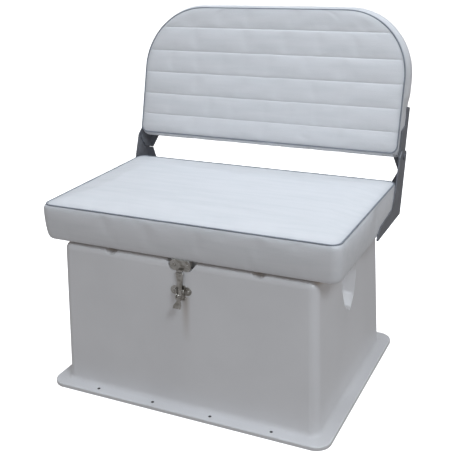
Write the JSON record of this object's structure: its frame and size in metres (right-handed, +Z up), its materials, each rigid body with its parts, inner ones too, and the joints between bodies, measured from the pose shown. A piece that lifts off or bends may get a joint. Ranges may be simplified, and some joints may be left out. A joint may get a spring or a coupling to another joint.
{
  "type": "storage seat",
  "caption": "Moulded locker box with an upholstered hinged seat lid, a channelled backrest that folds forward on side brackets, and a lever latch at the front.",
  "frame": {"origin": "middle of the base, on the underside of the flange", "axes": "+X across the seat to the sitter's left, +Y to the back, +Z up"},
  "size_m": [0.6534, 0.5685, 0.7494],
  "materials": {
    "gelcoat": "moulded glass fibre with a white gelcoat, slightly weathered",
    "plywood": "sealed plywood",
    "vinyl": "white coated vinyl with a fine leather grain",
    "piping": "grey vinyl piping cord",
    "bracket_paint": "dark grey powder coat",
    "stainless": "stainless steel, dulled",
    "nylon": "white nylon",
    "rubber": "black rubber"
  },
  "bodies": {
    "box": {"box_shell": "gelcoat", "floor_panel": "gelcoat", "lid_buffers": "rubber", "hinge_fixed_leaves": "stainless", "hinge_box_screws": "stainless", "latch_base": "stainless", "latch_base_screws": "stainless", "latch_rivets": "stainless"},
    "lid": {"seat_board": "plywood", "seat_cushion": "vinyl", "seat_piping": "piping", "hinge_moving_leaves": "stainless", "hinge_pins": "stainless", "hinge_lid_screws": "stainless", "lower_bracket_left": "bracket_paint", "lower_bracket_right": "bracket_paint", "lower_bracket_screws": "stainless", "pivot_bolts": "bracket_paint", "pivot_washers": "nylon", "keeper_block": "nylon", "latch_keeper": "stainless", "keeper_screws": "stainless"},
    "backrest": {"backrest_board": "plywood", "backrest_cushion": "vinyl", "backrest_piping": "piping", "backrest_back_panel": "vinyl", "upper_bracket_left": "bracket_paint", "upper_bracket_right": "bracket_paint", "upper_bracket_screws": "stainless"},
    "lever": {"latch_lever": "stainless", "latch_link_pin": "stainless"},
    "link": {"latch_link": "stainless"}
  },
  "joints": [
    {"name": "lid_hinge", "type": "hinge", "parent": "box", "child": "lid", "pos_m": [0, 0.202, 0.3235], "axis": [-1, 0, 0], "range_deg": [0, 95]},
    {"name": "backrest_fold", "type": "hinge", "parent": "lid", "child": "backrest", "pos_m": [0, 0.228, 0.448], "axis": [1, 0, 0], "range_deg": [0, 103]},
    {"name": "latch_lever_turn", "type": "hinge", "parent": "box", "child": "lever", "pos_m": [0, -0.20574, 0.2644], "axis": [-1, 0, 0], "range_deg": [0, 85]},
    {"name": "latch_link_swing", "type": "hinge", "parent": "lever", "child": "link", "pos_m": [0, -0.20316, 0.25226], "axis": [1, 0, 0], "range_deg": [0, 93.5]}
  ],
  "couplings": [
    {"joint": "latch_link_swing", "follows": "latch_lever_turn", "ratio": 1.1}
  ]
}
